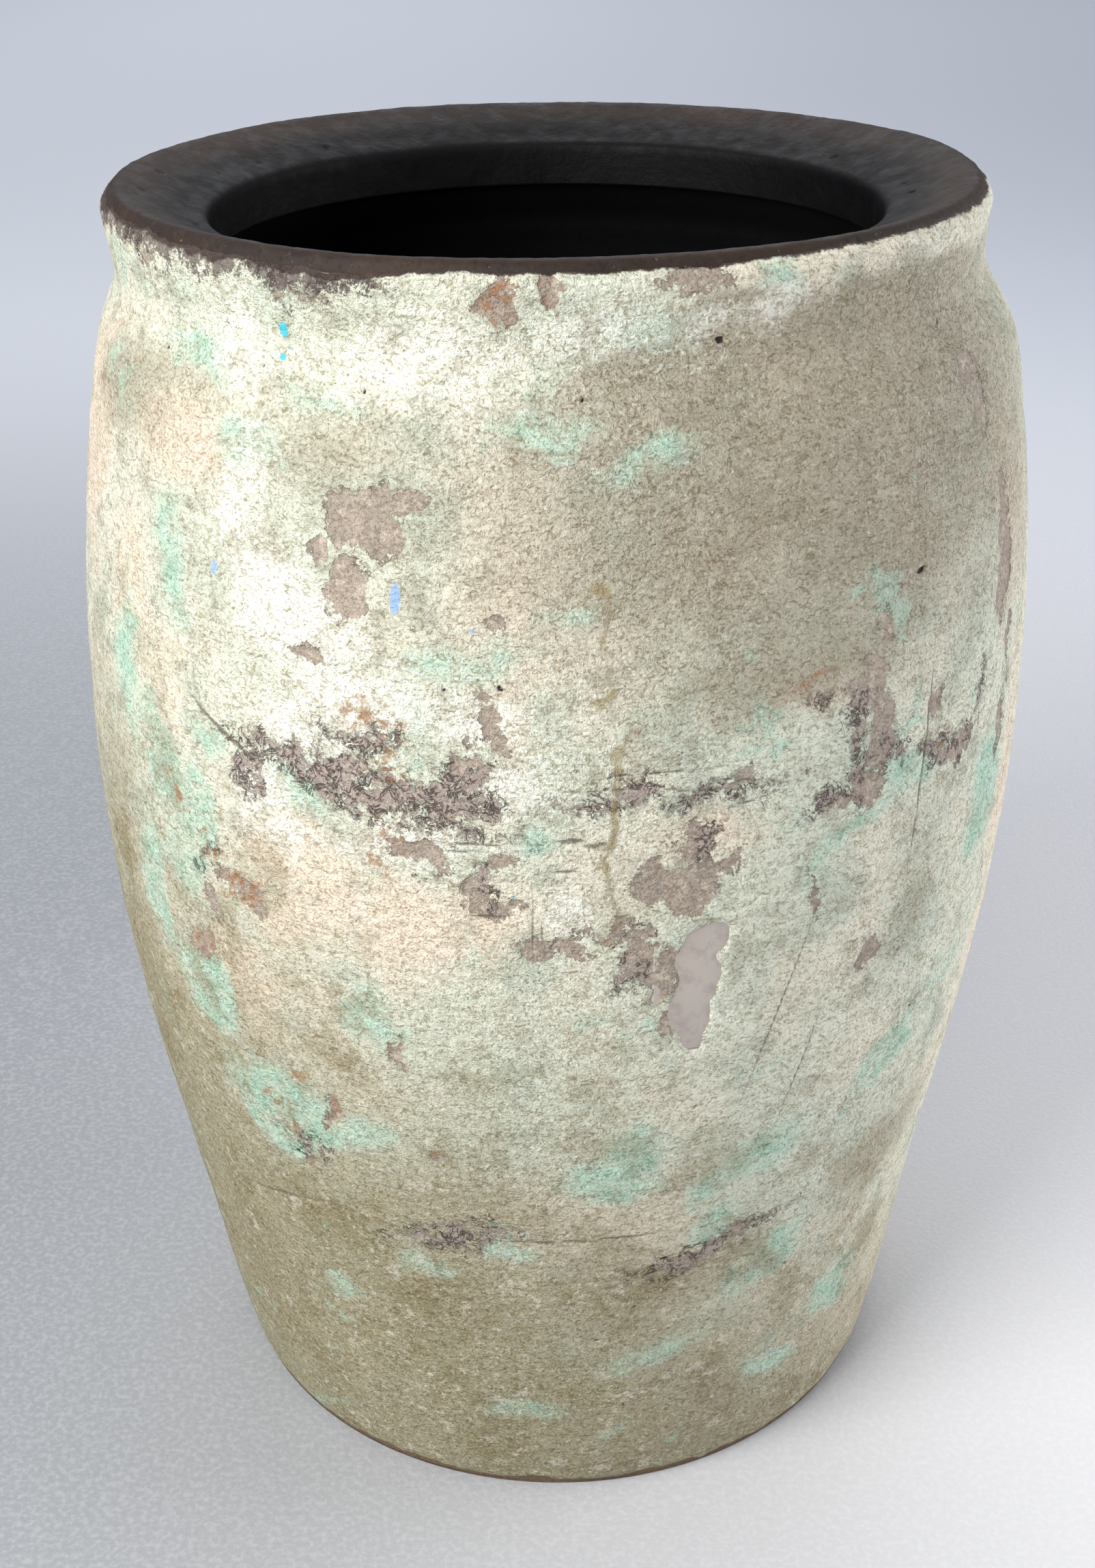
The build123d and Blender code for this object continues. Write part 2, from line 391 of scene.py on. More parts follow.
SCRATCHES = [
    (10, 262.5, 15, 0.22, 1), (14, 257.5, 9, 0.2, -8), (5, 259, 8, 0.18, 0), (-8.5, 244.5, 9, 0.25, 1),
    (-9.5, 242.5, 12, 0.2, -1), (17, 259, 7, 0.2, -6), (1.5, 246, 3.2, 0.6, 0), (4.0, 244.6, 2.6, 0.45, 0),
    (1.0, 237.5, 2.6, 0.3, 0), (-38, 108.5, 18, 0.32, 17), (-6.5, 224.0, 5, 0.3, 3),
    (25.5, 187, 0.2, 22, -16),
    (29.5, 165, 0.2, 14, -14), (-2.2, 219, 0.25, 7, 0), (-1.2, 217, 0.2, 4, 4), (43.5, 248, 0.3, 26, -4),
    (-2, 113, 12, 0.3, 2), (8, 113.5, 10, 0.25, 4), (20, 252, 5, 0.2, 10), (-38.0, 262, 13, 0.5, -28),
]
PITS = [    # (angle, height, radius)
    (47.7, 167, 1.3), (42.0, 300.6, 1.6), (18.8, 360.0, 1.8), (14.5, 102.6, 1.7), (12.9, 99.5, 1.0),
    (6.4, 70.0, 1.3), (16.6, 158.8, 0.7), (-5.6, 285.0, 1.1), (-11.2, 284.5, 0.8), (-2.8, 288.0, 0.7),
    (11.0, 84.0, 0.8), (-52.0, 351.0, 1.1), (-34.5, 352.0, 0.7), (3.0, 350.0, 0.6), (24.0, 221.0, 0.6),
    (8.0, 160.0, 0.6), (-48.0, 317.0, 0.7), (-9.5, 274.0, 0.7), (34.0, 83.0, 0.9), (-33.0, 130.5, 1.6),
    (10.0, 40.0, 0.9), (-1.0, 20.0, 0.8), (-21.0, 350.0, 0.8), (28.0, 330.0, 0.7), (52.0, 355.0, 0.7),
]

# The side that the camera doesn't see is worn in the same way, by chance.
chance = np.random.default_rng(11)


def scatter(patches, number, width, tallness, low=30, high=345):
    """Adds patches of random size round the back."""
    for _ in range(number):
        half_width = width * chance.uniform(0.5, 1.6)
        half_height = half_width * tallness * chance.uniform(0.6, 1.6)
        patches.append((
            chance.uniform(78, 282), chance.uniform(low, high), half_width, half_height,
            chance.uniform(-35, 35),
        ))


scatter(BARE, 34, 4.0, 1.3)
scatter(BARE, 10, 9.0, 0.5, 235, 275)
scatter(SPECKLED, 14, 11.0, 0.6, 80, 330)
scatter(SPECKLED, 12, 14.0, 0.5, 240, 270)
scatter(MINT, 30, 9.0, 1.0)
scatter(WHITE, 16, 10.0, 0.9, 120, 365)
scatter(PEACH, 14, 14.0, 1.2)
scatter(DIRT, 16, 20.0, 0.7)
scatter(RUST, 16, 3.0, 1.4)
scatter(SCRATCHES, 14, 9.0, 0.03, 120, 300)
scatter(CYAN, 4, 1.2, 1.3)
for _ in range(26):
    PITS.append((chance.uniform(78, 282), chance.uniform(20, 360), chance.uniform(0.6, 1.5)))


def way_round(angle, turn):
    """Millimetres round the wall from turn to angle, the shorter way."""
    return np.radians((angle - turn + 180) % 360 - 180) * WALL_R


def inside(patches, angle, height):
    """How far inside the nearest patch a point lies, in millimetres; negative outside."""
    best = np.full(angle.shape, -60.0)
    for turn, level, half_width, half_height, tilt in patches:
        across = way_round(angle, turn)
        up = height - level
        cos, sin = math.cos(math.radians(tilt)), math.sin(math.radians(tilt))
        u, v = across * cos + up * sin, up * cos - across * sin
        far = np.hypot(u / half_width, v / half_height)
        best = np.maximum(best, (1 - far) * min(half_width, half_height))
    return best


def on_rows(chosen, push, fields):
    """Keeps a relief and its fields on the chosen rows, and gives the relief in metres."""
    kept = {key: np.where(chosen, value, 0) for key, value in fields.items()}
    return np.where(chosen, push, 0) * MM, kept


def paint_relief(points, angle, height, row):
    """Height of the paint's surface, and the fields of wear and of painted shade that its material reads.

    Chips, scratches and pits are cut in, and the paint swells a little where it meets the lip's coat.
    """
    outer = (row < PAINT_ROWS)[:, None]
    warp_a = 2.6 * rough_noise(points, 8 * MM, 21, 4)
    warp_b = 2.6 * rough_noise(points, 8 * MM, 31, 4)
    loose_a = 6 * rough_noise(points, 26 * MM, 41, 4)
    loose_b = 6 * rough_noise(points, 26 * MM, 51, 4)
    near = (angle + np.degrees(warp_a / WALL_R), height + warp_b)
    far = (angle + np.degrees(loose_a / WALL_R), height + loose_b)
    grain = rough_noise(points, 2.4 * MM, 61, 2)
    bare = inside(BARE, *near)
    speckled = inside(SPECKLED, *far)
    scratch = inside(SCRATCHES, angle, height + 0.25 * warp_b)
    filler = inside(FILLER, angle + np.degrees(0.45 * warp_a / WALL_R), height + 0.5 * warp_b)
    pit = np.full(angle.shape, 0.0)
    for turn, level, size in PITS:
        away = np.hypot(way_round(angle, turn) + 0.5 * warp_a, 1.4 * (height - level) + 0.5 * warp_b)
        pit = np.maximum(pit, 1 - smooth_step(away, 0.3 * size, size * 0.95))
    flakes = smooth_step(grain + 0.09 * np.clip(speckled, -12, 5), 0.25, 0.75)
    on_left = smooth_step(angle, -4, -30) * smooth_step(angle, -95, -80)
    edge = 377.9 - 1.6 * on_left + (0.5 + 0.7 * on_left) * rough_noise(points, 10 * MM, 71, 4)
    over_edge = smooth_step(height, edge - 0.5, edge + 0.4)
    # painted shade: a darker band on the shoulder under the neck, strongest right of the front
    shade_top = 351 + 20 * smooth_step(angle, -5, 22)
    shoulder = smooth_step(height + warp_b, shade_top + 3, shade_top - 3)
    shoulder = shoulder * smooth_step(height + 2 * loose_b, 262, 322)
    shoulder = shoulder * (0.2 + 0.8 * smooth_step(angle, -22, 14)) * smooth_step(np.abs(angle), 95, 50)
    foot = smooth_step(height, 5.5 + 3.0 * rough_noise(points, 9 * MM, 81, 3), 0.5)
    lumps = 0.16 * noise(points, 19 * MM, 91) + 0.13 * noise(points, 8 * MM, 92)
    lumps = lumps + 0.10 * noise(points, 3.5 * MM, 93)
    brush = 0.09 * noise(points * np.array([1, 1, 3.5]), 5 * MM, 94)
    push = lumps + brush + 0.06 * grain
    push -= 0.38 * smooth_step(bare, -0.6, 0.6)
    push -= 0.30 * flakes
    push -= 0.35 * smooth_step(scratch, -0.25, 0.15)
    push -= 0.75 * smooth_step(filler, -0.6, 0.4)
    push -= 1.10 * pit
    push -= 0.90 * over_edge
    push -= 0.45 * foot
    push += 0.85 * smooth_step(height, 370, 376)
    fields = {
        "bare": bare, "speckled": speckled, "scratch": scratch, "filler": filler, "pit": pit,
        "mint": inside(MINT, *far), "white": inside(WHITE, *far), "peach": inside(PEACH, *far),
        "dirt": inside(DIRT, *far), "rust": inside(RUST, *near), "drip": inside(DRIP, *near),
        "cyan": inside(CYAN, angle, height), "blue": inside(BLUE, angle, height),
        "rim": height - edge, "smear": on_left, "foot": foot, "shoulder": shoulder,
    }
    return on_rows(outer, push, fields)


# ---------------------------------------------------------------- materials


def rgb(red, green, blue):
    """A colour given as it looks on screen, 0 to 255, as the linear values that Blender takes."""
    linear = []
    for shown in (red, green, blue):
        part = shown / 255
        linear.append(part / 12.92 if shown < 11 else ((part + 0.055) / 1.055) ** 2.4)
    return (*linear, 1)


# The paint's colours, from the paint itself to stains, dirt, bare clay and marks, with painted shade and a
# painted highlight.
PALE_GREEN = rgb(214, 219, 202)
CREAM = rgb(228, 221, 203)
GREY_GREEN = rgb(194, 204, 188)
PEACH_PAINT = rgb(234, 219, 200)
DUST = rgb(158, 147, 124)
# The next two are painted shade: low on the pot towards the left, and on the shoulder under the neck.
LOW_LEFT_SHADE = rgb(150, 142, 110)
SHOULDER_SHADE = rgb(150, 140, 120)
MINT_PAINT = rgb(186, 214, 196)
TURQUOISE = rgb(156, 200, 180)
FAINT_MINT = rgb(172, 206, 188)
WHITE_PAINT = rgb(245, 246, 236)
BROWN_WASH = rgb(164, 154, 132)
DAMP_STAIN = rgb(132, 120, 82)
CHALK = rgb(214, 206, 190)
FIBRE_DIRT = rgb(184, 172, 152)
FINE_DIRT = rgb(176, 164, 144)
STROKE_DIRT = rgb(176, 166, 146)
# a painted highlight for the grain's raised tops
GRAIN_HIGHLIGHT = rgb(244, 243, 232)
SPECK = rgb(96, 84, 72)
DAB = rgb(160, 142, 126)
CLAY_LIGHT = rgb(176, 162, 146)
CLAY_GREY = rgb(158, 147, 135)
CLAY_DARK = rgb(126, 112, 100)
CLAY_CHALKY = rgb(206, 194, 178)
CLAY_BELT = rgb(168, 152, 147)
CHIP_SHADOW = rgb(104, 92, 82)
CRACK = rgb(70, 58, 56)
RUST_BROWN = rgb(150, 106, 68)
DRIP_OCHRE = rgb(148, 134, 98)
CYAN_DAB = rgb(84, 186, 206)
BLUE_DAB = rgb(150, 178, 214)
LIP_SMEAR = rgb(88, 76, 74)
LIP_EDGE = rgb(74, 62, 58)
FOOT_GRIME = rgb(118, 98, 74)
PIT_SHADOW = rgb(46, 38, 34)


class Finish:
    """A procedural material, with short calls for its nodes. Sizes are in millimetres."""

    def __init__(self, name):
        self.material = bpy.data.materials.new(name)
        self.material.use_nodes = True
        self.tree = self.material.node_tree
        self.shader = self.tree.nodes["Principled BSDF"]
        self.place = self.tree.nodes.new("ShaderNodeTexCoord").outputs["Object"]
        self.bump = None

    def put(self, value, socket):
        """Links a socket to a node's output, or sets it to a number or colour."""
        if isinstance(value, bpy.types.NodeSocket):
            self.tree.links.new(value, socket)
        else:
            socket.default_value = value

    def noise(self, size, detail=3, rough=0.55, stretch=(1, 1, 1), tip=(0, 0, 0), twist=0):
        """Noise from 0 to 1, about 0.5 on average, with bumps about size across."""
        mapping = self.tree.nodes.new("ShaderNodeMapping")
        mapping.inputs["Scale"].default_value = stretch
        mapping.inputs["Rotation"].default_value = [math.radians(t) for t in tip]
        self.put(self.place, mapping.inputs["Vector"])
        node = self.tree.nodes.new("ShaderNodeTexNoise")
        node.inputs["Scale"].default_value = 1000 / size
        node.inputs["Detail"].default_value = detail
        node.inputs["Roughness"].default_value = rough
        node.inputs["Distortion"].default_value = twist
        self.put(mapping.outputs["Vector"], node.inputs["Vector"])
        return node.outputs["Fac"]

    def field(self, name):
        """A value that the mesh carries at each of its points."""
        node = self.tree.nodes.new("ShaderNodeAttribute")
        node.attribute_name = name
        return node.outputs["Fac"]

    def calc(self, operation, a, b=0.0):
        node = self.tree.nodes.new("ShaderNodeMath")
        node.operation = operation
        self.put(a, node.inputs[0])
        self.put(b, node.inputs[1])
        return node.outputs[0]

    def ramp(self, value, low, high, start=0.0, end=1.0):
        """An easy slope from start, where value is low, to end, where it is high."""
        node = self.tree.nodes.new("ShaderNodeMapRange")
        node.interpolation_type = "SMOOTHSTEP"
        self.put(value, node.inputs["Value"])
        node.inputs["From Min"].default_value = low
        node.inputs["From Max"].default_value = high
        node.inputs["To Min"].default_value = start
        node.inputs["To Max"].default_value = end
        return node.outputs["Result"]

    def mix(self, amount, below, above, kind="MIX"):
        """The colour above laid over the colour below, as thickly as amount from 0 to 1."""
        node = self.tree.nodes.new("ShaderNodeMix")
        node.data_type = "RGBA"
        node.blend_type = kind
        self.put(amount, node.inputs["Factor"])
        self.put(below, node.inputs[6])
        self.put(above, node.inputs[7])
        return node.outputs[2]

    def plus(self, a, b):
        return self.calc("ADD", a, b)

    def less(self, a, b):
        return self.calc("SUBTRACT", a, b)

    def both(self, a, b):
        """The product: one amount held back by another."""
        return self.calc("MULTIPLY", a, b)

    def axis(self, name):
        """How far along X, Y or Z a point lies, in metres."""
        node = self.tree.nodes.new("ShaderNodeSeparateXYZ")
        self.put(self.place, node.inputs[0])
        return node.outputs[name]

    def raise_by(self, value, distance):
        """Adds a bump of this many millimetres, on top of the bumps so far."""
        node = self.tree.nodes.new("ShaderNodeBump")
        node.inputs["Distance"].default_value = distance * MM
        node.inputs["Strength"].default_value = 1.0
        self.put(value, node.inputs["Height"])
        if self.bump:
            self.put(self.bump, node.inputs["Normal"])
        self.bump = node.outputs["Normal"]

    def done(self, colour, roughness, specular):
        self.put(colour, self.shader.inputs["Base Color"])
        self.put(roughness, self.shader.inputs["Roughness"])
        self.shader.inputs["Specular IOR Level"].default_value = specular
        if self.bump:
            self.put(self.bump, self.shader.inputs["Normal"])
        return self.material


def paint_material():
    m = Finish("worn_paint")
    broad = m.noise(70, 4)
    middle = m.noise(22, 5, 0.6)
    small = m.noise(6, 5, 0.65)
    grain = m.noise(1.5, 4, 0.7)
    fine = m.noise(0.7, 3, 0.7)
    fibres = m.noise(1.7, 3, 0.6, stretch=(1, 1, 1.35), twist=1.4)
    strokes = m.noise(3.0, 3, 0.6, stretch=(0.35, 0.35, 2.4), tip=(0, 25, 0), twist=0.5)
    ragged = m.plus(m.both(m.less(small, 0.5), 3.0), m.both(m.less(grain, 0.5), 2.6))     # millimetres

    def cover(name, low, high, wander=1.0):
        """How much of a patch covers a point, with a ragged edge."""
        return m.ramp(m.plus(m.field(name), m.both(ragged, wander)), low, high)

    # the top paint, its stains and where it is rubbed thin, with painted shade low on the left and on the
    # shoulder under the neck
    colour = m.mix(m.ramp(broad, 0.35, 0.65), PALE_GREEN, CREAM)
    colour = m.mix(m.ramp(middle, 0.45, 0.7), colour, GREY_GREEN)
    colour = m.mix(m.both(cover("peach", -5, 6, 2.2), 0.9), colour, PEACH_PAINT)
    dirt = m.both(cover("dirt", -9, 8, 3.2), m.ramp(grain, 0.2, 0.6, 0.65, 1.0))
    colour = m.mix(m.both(dirt, 0.7), colour, DUST)
    # painted shade: the paint is painted darker towards the bottom, and the darkening reaches higher on the
    # left
    low = m.plus(m.axis("Z"), m.both(m.less(middle, 0.5), 0.12))
    low = m.plus(low, m.both(m.axis("X"), 0.80))
    colour = m.mix(m.ramp(low, 0.20, 0.04, 0.0, 0.86), colour, LOW_LEFT_SHADE)
    # painted shade on the shoulder under the neck
    shoulder = m.both(m.field("shoulder"), m.ramp(m.plus(small, grain), 0.65, 1.15, 0.70, 1.0))
    colour = m.mix(m.both(shoulder, 0.88), colour, SHOULDER_SHADE)
    mint = cover("mint", -3, 3, 2.2)
    colour = m.mix(m.both(mint, m.ramp(middle, 0.30, 0.62, 0.45, 0.95)), colour, MINT_PAINT)
    deep = m.both(cover("mint", 0.5, 4, 2.6), m.ramp(small, 0.46, 0.58))
    colour = m.mix(m.both(deep, 0.65), colour, TURQUOISE)
    stray = m.both(m.ramp(m.noise(30, 6, 0.75), 0.60, 0.66), 0.6)
    colour = m.mix(stray, colour, FAINT_MINT)
    colour = m.mix(m.both(cover("white", -4, 5, 3.6), 0.80), colour, WHITE_PAINT)
    colour = m.mix(m.ramp(m.noise(11, 7, 0.8), 0.50, 0.62, 0.0, 0.50), colour, BROWN_WASH)
    stains = m.both(m.ramp(m.noise(26, 7, 0.75), 0.50, 0.60), m.ramp(low, 0.26, 0.12))
    colour = m.mix(m.both(stains, 0.5), colour, DAMP_STAIN)
    chalk = m.both(m.ramp(m.noise(8, 7, 0.8), 0.56, 0.62), m.ramp(low, 0.26, 0.10))
    colour = m.mix(m.both(chalk, 0.65), colour, CHALK)

    # dirt in the fibres and brush marks, and a painted highlight on the grain's raised tops
    colour = m.mix(m.ramp(fibres, 0.52, 0.34, 0.0, 0.80), colour, FIBRE_DIRT, "MULTIPLY")
    colour = m.mix(m.ramp(fine, 0.50, 0.32, 0.0, 0.45), colour, FINE_DIRT, "MULTIPLY")
    colour = m.mix(m.ramp(strokes, 0.46, 0.30, 0.0, 0.35), colour, STROKE_DIRT, "MULTIPLY")
    # painted highlight: the raised tops of the grain are paler
    colour = m.mix(m.ramp(grain, 0.50, 0.72, 0.0, 0.35), colour, GRAIN_HIGHLIGHT)
    specks = m.both(m.ramp(m.noise(2.6, 5, 0.8), 0.665, 0.70), m.ramp(small, 0.40, 0.60))
    colour = m.mix(m.both(specks, 0.85), colour, SPECK)
    dabs = m.ramp(m.noise(9, 6, 0.8), 0.655, 0.68)
    colour = m.mix(m.both(dabs, 0.7), colour, DAB)

    # bare clay in the chips, and the broken paint of the belt with dark cracks in it
    clay = m.mix(m.ramp(small, 0.35, 0.65), CLAY_LIGHT, CLAY_GREY)
    clay = m.mix(m.ramp(fibres, 0.54, 0.36, 0.0, 0.7), clay, CLAY_DARK)
    clay = m.mix(m.ramp(m.noise(3.5, 5, 0.75), 0.54, 0.62, 0.0, 0.6), clay, CLAY_CHALKY)
    clay = m.mix(m.ramp(m.field("speckled"), -1, 5, 0.0, 0.6), clay, CLAY_BELT)
    speckled = m.calc("MINIMUM", m.field("speckled"), 4.0)
    worn = m.plus(m.both(speckled, 0.030), m.noise(5.0, 7, 0.85))
    worn = m.both(m.ramp(worn, 0.575, 0.605), m.ramp(speckled, -6, 0))
    colour = m.mix(m.both(worn, 0.95), colour, clay)
    bare = cover("bare", -0.25, 0.25, 1.7)
    colour = m.mix(bare, colour, clay)
    near_chip = cover("bare", -1.2, 1.2, 1.7)
    edge = m.both(m.ramp(near_chip, 0.35, 0.5), m.ramp(near_chip, 0.75, 0.6))
    colour = m.mix(m.both(edge, m.ramp(small, 0.45, 0.6, 0.0, 0.8)), colour, CHIP_SHADOW)
    wave = m.noise(4.2, 4, 0.7, twist=0.8)
    cracks = m.ramp(m.calc("ABSOLUTE", m.less(wave, 0.5)), 0.040, 0.014)
    cracks = m.both(cracks, m.ramp(m.plus(m.both(speckled, 0.035), small), 0.50, 0.60))
    colour = m.mix(m.both(cracks, 0.85), colour, CRACK)
    rust = m.both(cover("rust", -1.5, 2.5, 1.4), m.ramp(m.noise(2.6, 4, 0.7), 0.45, 0.60))
    colour = m.mix(m.both(rust, 0.8), colour, RUST_BROWN)
    colour = m.mix(m.both(cover("drip", -0.5, 0.9, 0.3), 0.8), colour, DRIP_OCHRE)
    colour = m.mix(m.ramp(m.field("scratch"), -0.3, 0.1, 0.0, 0.8), colour, CHIP_SHADOW)
    colour = m.mix(m.ramp(m.field("cyan"), 0.25, 0.55), colour, CYAN_DAB)
    colour = m.mix(m.ramp(m.field("blue"), 0.0, 0.5), colour, BLUE_DAB)

    # smears of the lip's dark coat, grime on the foot's edge, and pits
    near_rim = m.plus(m.field("rim"), m.both(ragged, 0.5))
    smear = m.both(m.field("smear"), m.ramp(near_rim, -9.0, -1.0))
    smear = m.ramp(m.plus(m.both(smear, 0.24), m.noise(4.0, 7, 0.85)), 0.66, 0.70)
    colour = m.mix(m.both(smear, 0.85), colour, LIP_SMEAR)
    colour = m.mix(m.ramp(near_rim, -1.0, -0.4), colour, LIP_EDGE)
    colour = m.mix(m.ramp(m.plus(m.field("foot"), m.both(ragged, 0.16)), 0.35, 0.7), colour, FOOT_GRIME)
    colour = m.mix(m.ramp(m.field("pit"), 0.25, 0.75), colour, PIT_SHADOW)

    m.raise_by(m.noise(9, 3), 0.35)
    m.raise_by(strokes, 0.22)
    m.raise_by(fibres, 0.75)
    m.raise_by(m.noise(3.4, 4, 0.65, twist=1.0), 0.60)
    m.raise_by(grain, 0.40)
    m.raise_by(fine, 0.16)
    m.raise_by(m.calc("MAXIMUM", bare, worn), -0.28)
    m.raise_by(cracks, -0.25)
    roughness = m.ramp(grain, 0.3, 0.7, 0.70, 0.88)
    return m.done(colour, roughness, 0.25)


def lip_material():
    m = Finish("dark_lip")
    small = m.noise(7, 5, 0.65)
    grain = m.noise(1.4, 4, 0.7)
    colour = m.mix(m.ramp(m.noise(60, 3), 0.4, 0.62), rgb(46, 39, 36), rgb(54, 43, 36))
    colour = m.mix(m.ramp(small, 0.5, 0.75, 0, 0.5), colour, rgb(74, 62, 54))
    colour = m.mix(m.ramp(grain, 0.5, 0.3, 0, 0.55), colour, rgb(24, 20, 20))
    # painted shade: the coat is painted darker down the bevel towards the mouth
    colour = m.mix(m.ramp(m.field("bevel"), 1.0, 0.0, 0, 0.92), colour, rgb(10, 9, 11))
    chalk = m.both(m.ramp(m.noise(2.6, 6, 0.78), 0.62, 0.70), m.ramp(m.field("outside"), 0.5, 1.0))
    colour = m.mix(m.both(chalk, 0.6), colour, rgb(150, 138, 126))
    # painted shade: the coat is painted near black in the throat
    colour = m.mix(m.field("throat"), colour, rgb(7, 6, 8))
    m.raise_by(m.noise(11, 3), 0.5)
    m.raise_by(small, 0.35)
    m.raise_by(grain, 0.16)
    return m.done(colour, m.ramp(small, 0.3, 0.7, 0.52, 0.70), 0.14)


def plain_material(name, colour, other, dark, size, bump, roughness, specular=0.3):
    """A grainy material: colour drifts to other over broad patches, and dark fills the grain."""
    m = Finish(name)
    grain = m.noise(size, 6, 0.7)
    shade = m.mix(m.ramp(m.noise(size * 9, 4), 0.35, 0.65), colour, other)
    shade = m.mix(m.ramp(grain, 0.55, 0.35, 0, 0.4), shade, dark)
    m.raise_by(grain, bump)
    return m.done(shade, roughness, specular)


paint = paint_material()
dark_lip = lip_material()
clay_finish = plain_material("clay", rgb(146, 128, 110), rgb(122, 106, 96), rgb(60, 52, 48), 1.6, 0.35, 0.9)
slip_finish = plain_material("inner_slip", rgb(12, 11, 12), rgb(9, 9, 12), rgb(5, 5, 5), 3.0, 0.3, 0.9, 0.08)
filler_finish = plain_material(
    "filler", rgb(176, 167, 160), rgb(164, 155, 148), rgb(138, 128, 122), 5.0, 0.05, 0.7,
)

# ---------------------------------------------------------------- pieces


def place(piece, material, slot, *nodes):
    """Gives a piece its material, hangs it under the root, and hides the CAD nodes that it stands for."""
    piece.data.materials.append(material)
    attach(piece, "root")
    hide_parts(*nodes)


# The paint: fine rows up the outside, a few down the back of the shell.
row_step = 0.78 * MM * COARSE
up = np.arange(0.8 * MM, PAINT_TOP + 2.2 * MM, row_step)
PAINT_ROWS = len(up)
down = np.linspace(up[-1] - 0.5 * MM, up[0] + 0.5 * MM, 60)
shell = np.concatenate([
    np.stack([wall_radius(up), up], 1),
    np.stack([wall_radius(down) - 0.95 * SKIN, down], 1),
])
shell[:, 0] -= 0.5 * MM * (1 - smooth_step(shell[:, 1], 0, 6 * MM))     # rounds the foot's edge
painted = turn_outline("painted_surface", shell, AROUND, paint_relief)
place(painted, paint, "pale_topcoat", "undercoat", "topcoat")

# The clay behind it, one ring for each CAD section.
for node in CLAY_NODES:
    inner, outer = section_sides(node)
    loop = np.concatenate([outer, inner[::-1]])
    place(turn_outline(node + "_clay", loop, PLAIN_AROUND), clay_finish, "fired_clay", node)

floor_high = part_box("floor_slab")[1]
slab = np.array([(0, 0), (floor_high.x, 0), (floor_high.x, floor_high.z), (0, floor_high.z)])
floor_disc = turn_outline("floor_slab_clay", slab, PLAIN_AROUND, merge=True)
place(floor_disc, clay_finish, "fired_clay", "floor_slab")

# The dark coat over the lip: up the outside, over the crest, down the bevel and into the throat.
LIP_OUTLINE = np.array([
    (118.4, 366), (119.2, 372), (119.2, 375.5), (118.8, 377.4), (118, 379), (116.6, 380),
    (114.3, 379.8), (112, 378.9), (108, 377.2), (103, 375.1), (98, 373), (95.5, 372),
    (93.8, 371.2), (92.8, 370.2), (92.4, 368.5), (92.4, 365), (92.5, 358),
]) * MM


def smooth_line(points, step):
    """A soft curve through points, with its own points step apart."""
    steps = []
    padded = np.concatenate([[2 * points[0] - points[1]], points, [2 * points[-1] - points[-2]]])
    for a, b, c, d in zip(padded, padded[1:], padded[2:], padded[3:]):
        number = max(2, int(np.linalg.norm(c - b) / step))
        t = np.linspace(0, 1, number, endpoint=False)[:, None]
        steps.append(0.5 * (
            2 * b
            + (c - a) * t
            + (2 * a - 5 * b + 4 * c - d) * t**2
            + (3 * b - a - 3 * c + d) * t**3
        ))
    return np.concatenate(steps + [points[-1:]])


lip_top = smooth_line(LIP_OUTLINE, 0.55 * MM * COARSE)
LIP_ROWS = len(lip_top)
lip_back = np.array([
    (94, 358.2), (94.2, 369.4), (113.6, 377.8), (116.2, 378.6), (118.2, 374), (117.6, 366.4),
]) * MM


def lip_relief(points, angle, height, row):
    """Slow dents, small lumps and pits in the lip's coat, less of them where it meets the paint."""
    outer = (row < LIP_ROWS)[:, None]
    radius = np.hypot(points[..., 0], points[..., 1]) / MM
    slow = 0.40 * noise(points, 34 * MM, 101) + 0.15 * noise(points, 12 * MM, 102)
    small = 0.09 * noise(points, 5 * MM, 103) + 0.07 * noise(points, 2 * MM, 104)
    pitted = smooth_step(noise(points, 40 * MM, 106), -0.2, 0.3)
    pits = smooth_step(noise(points, 4.5 * MM, 105), 0.74, 0.92) * pitted
    push = np.clip(slow + small - 0.6 * pits, -0.7, 0.9)
    fields = {
        "outside": smooth_step(radius, 114, 118.5),
        # the throat and bevel fields carry the painted shade going into the mouth
        "throat": smooth_step(height, 371.5, 369.5) * smooth_step(radius, 100, 93),
        "bevel": smooth_step(radius, 96, 115),
    }
    calm = 0.25 + 0.75 * smooth_step(radius, 92, 97) * smooth_step(radius, 119.5, 117.5)
    return on_rows(outer, push * calm, fields)


lip = turn_outline("lip_surface", np.concatenate([lip_top, lip_back]), AROUND, lip_relief)
place(lip, dark_lip, "dark_lip_coat", "lip_coat")

# The dark slip inside, from the middle of the floor to the throat.
slip_low, slip_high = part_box("inner_slip")
_, slip_outer = section_sides("inner_slip")
wall = slip_outer[slip_outer[:, 0] > 0.6 * slip_outer[:, 0].max()]      # not the part on the floor
levels = np.linspace(slip_low.z + 1 * MM, slip_high.z, 130)
outside = np.interp(levels, wall[:, 1], wall[:, 0])
inner_face = np.concatenate([[(0, levels[0])], np.stack([outside - SKIN, levels], 1)])
outer_face = np.concatenate([
    [(0, levels[0] - 0.6 * MM)],
    np.stack([outside - 0.3 * MM, levels - 0.4 * MM], 1),
])
place(
    turn_outline("inside_surface", np.concatenate([outer_face, inner_face[::-1]]), 360, merge=True),
    slip_finish, "dark_inner_slip", "inner_slip",
)

# ---------------------------------------------------------------- filler plug and floor


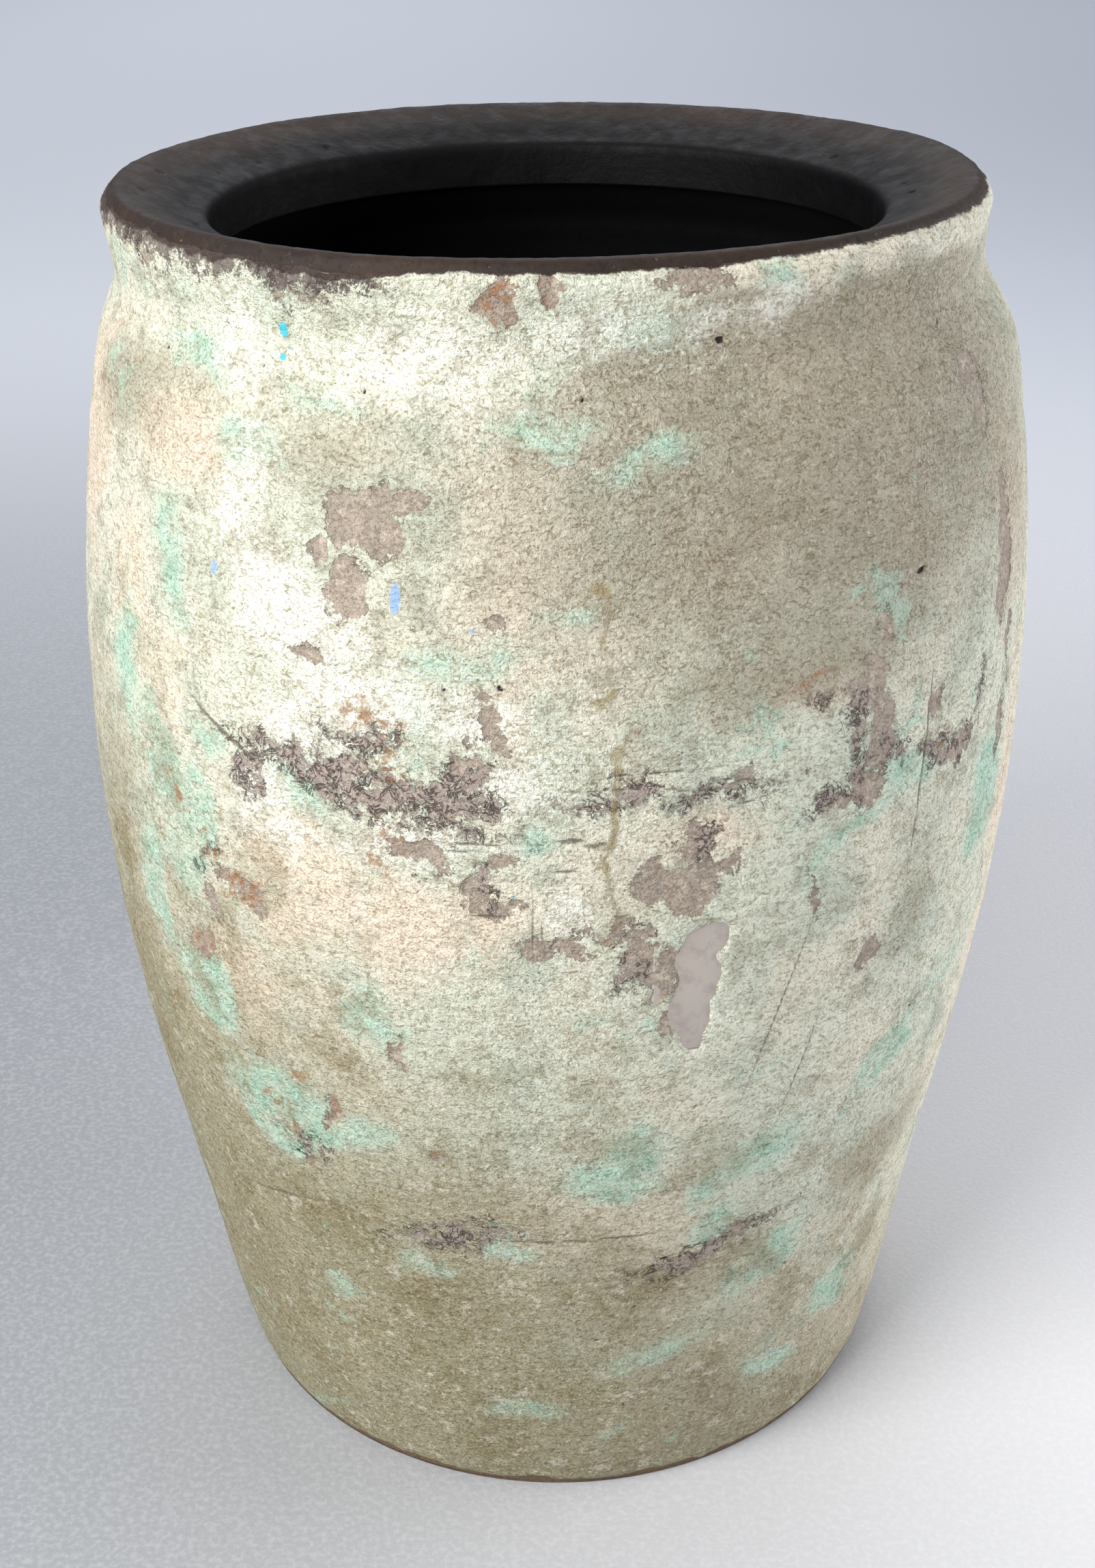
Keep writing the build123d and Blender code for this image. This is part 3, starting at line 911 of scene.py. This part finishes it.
def filler_patch():
    """A smooth patch of filler just under the paint's surface, which shows through the paint's hole."""
    rows, columns = 60, 30
    heights = np.linspace(180, 222, rows)[:, None]
    angles = np.linspace(10.5, 21.0, columns)[None, :]
    grid_angle = np.radians(angles + 0 * heights)
    grid_height = (heights + 0 * angles) * MM
    layers = []
    for depth in (0.42, 0.90):      # millimetres below the paint
        radius = wall_radius(grid_height) - depth * MM
        layers.append(np.stack([radius * np.sin(grid_angle), -radius * np.cos(grid_angle), grid_height], -1))
    front, back = bent(layers[0]), bent(layers[1])
    lumps = 0.08 * MM * noise(front, 9 * MM, 120) + 0.03 * MM * noise(front, 3 * MM, 121)
    front = front + lumps[..., None] * np.stack([np.sin(grid_angle), -np.cos(grid_angle), 0 * grid_angle], -1)
    count = rows * columns
    vertices = np.concatenate([front.reshape(-1, 3), back.reshape(-1, 3)])
    faces = grid_quads(rows, columns)
    faces += [tuple(count + n for n in reversed(quad)) for quad in faces]
    border = list(range(columns))
    border += [i * columns + columns - 1 for i in range(1, rows)]
    border += [(rows - 1) * columns + j for j in range(columns - 2, -1, -1)]
    border += [i * columns for i in range(rows - 2, 0, -1)]
    for a, b in zip(border, border[1:] + border[:1]):
        faces.append((a, count + a, count + b, b))
    return sheet_object("filler_surface", vertices, faces)


place(filler_patch(), filler_finish, "grey_filler", "filler_plug")


def floor():
    """A pale sheet that the pot stands on, with a little unevenness and with painted shade and light in its
    colour.
    """
    side, number = 40.0, 240
    line = np.linspace(-1, 1, number)
    line = np.sign(line) * np.abs(line) ** 3.0 * side / 2      # closer together near the pot
    x, y = np.meshgrid(line, line, indexing="ij")
    points = np.stack([x, y, 0 * x], -1)
    away = smooth_step(np.hypot(x, y), 0.15, 0.6)
    points[..., 2] = -0.0002 + 0.0015 * away * (noise(points, 0.23, 131) - 1)
    upward = [(a, d, c, b) for a, b, c, d in grid_quads(number, number)]
    sheet = sheet_object("paper_floor", points, upward)
    m = Finish("paper")
    # painted shade darkens the floor to the left of the pot, and painted light makes it paler far behind it
    colour = m.mix(m.ramp(m.axis("X"), -0.25, 0.25), rgb(148, 151, 156), rgb(214, 213, 216))
    far = m.mix(m.ramp(m.axis("X"), -0.9, 0.9), rgb(240, 243, 250), rgb(214, 218, 226))
    colour = m.mix(m.ramp(m.axis("Y"), 0.2, 1.4), colour, far)
    colour = m.mix(m.ramp(m.noise(2.0, 3), 0.4, 0.7, 0, 0.15), colour, rgb(234, 236, 240))
    m.raise_by(m.noise(1.6, 3), 0.15)
    sheet.data.materials.append(m.done(colour, 0.85, 0.2))


floor()
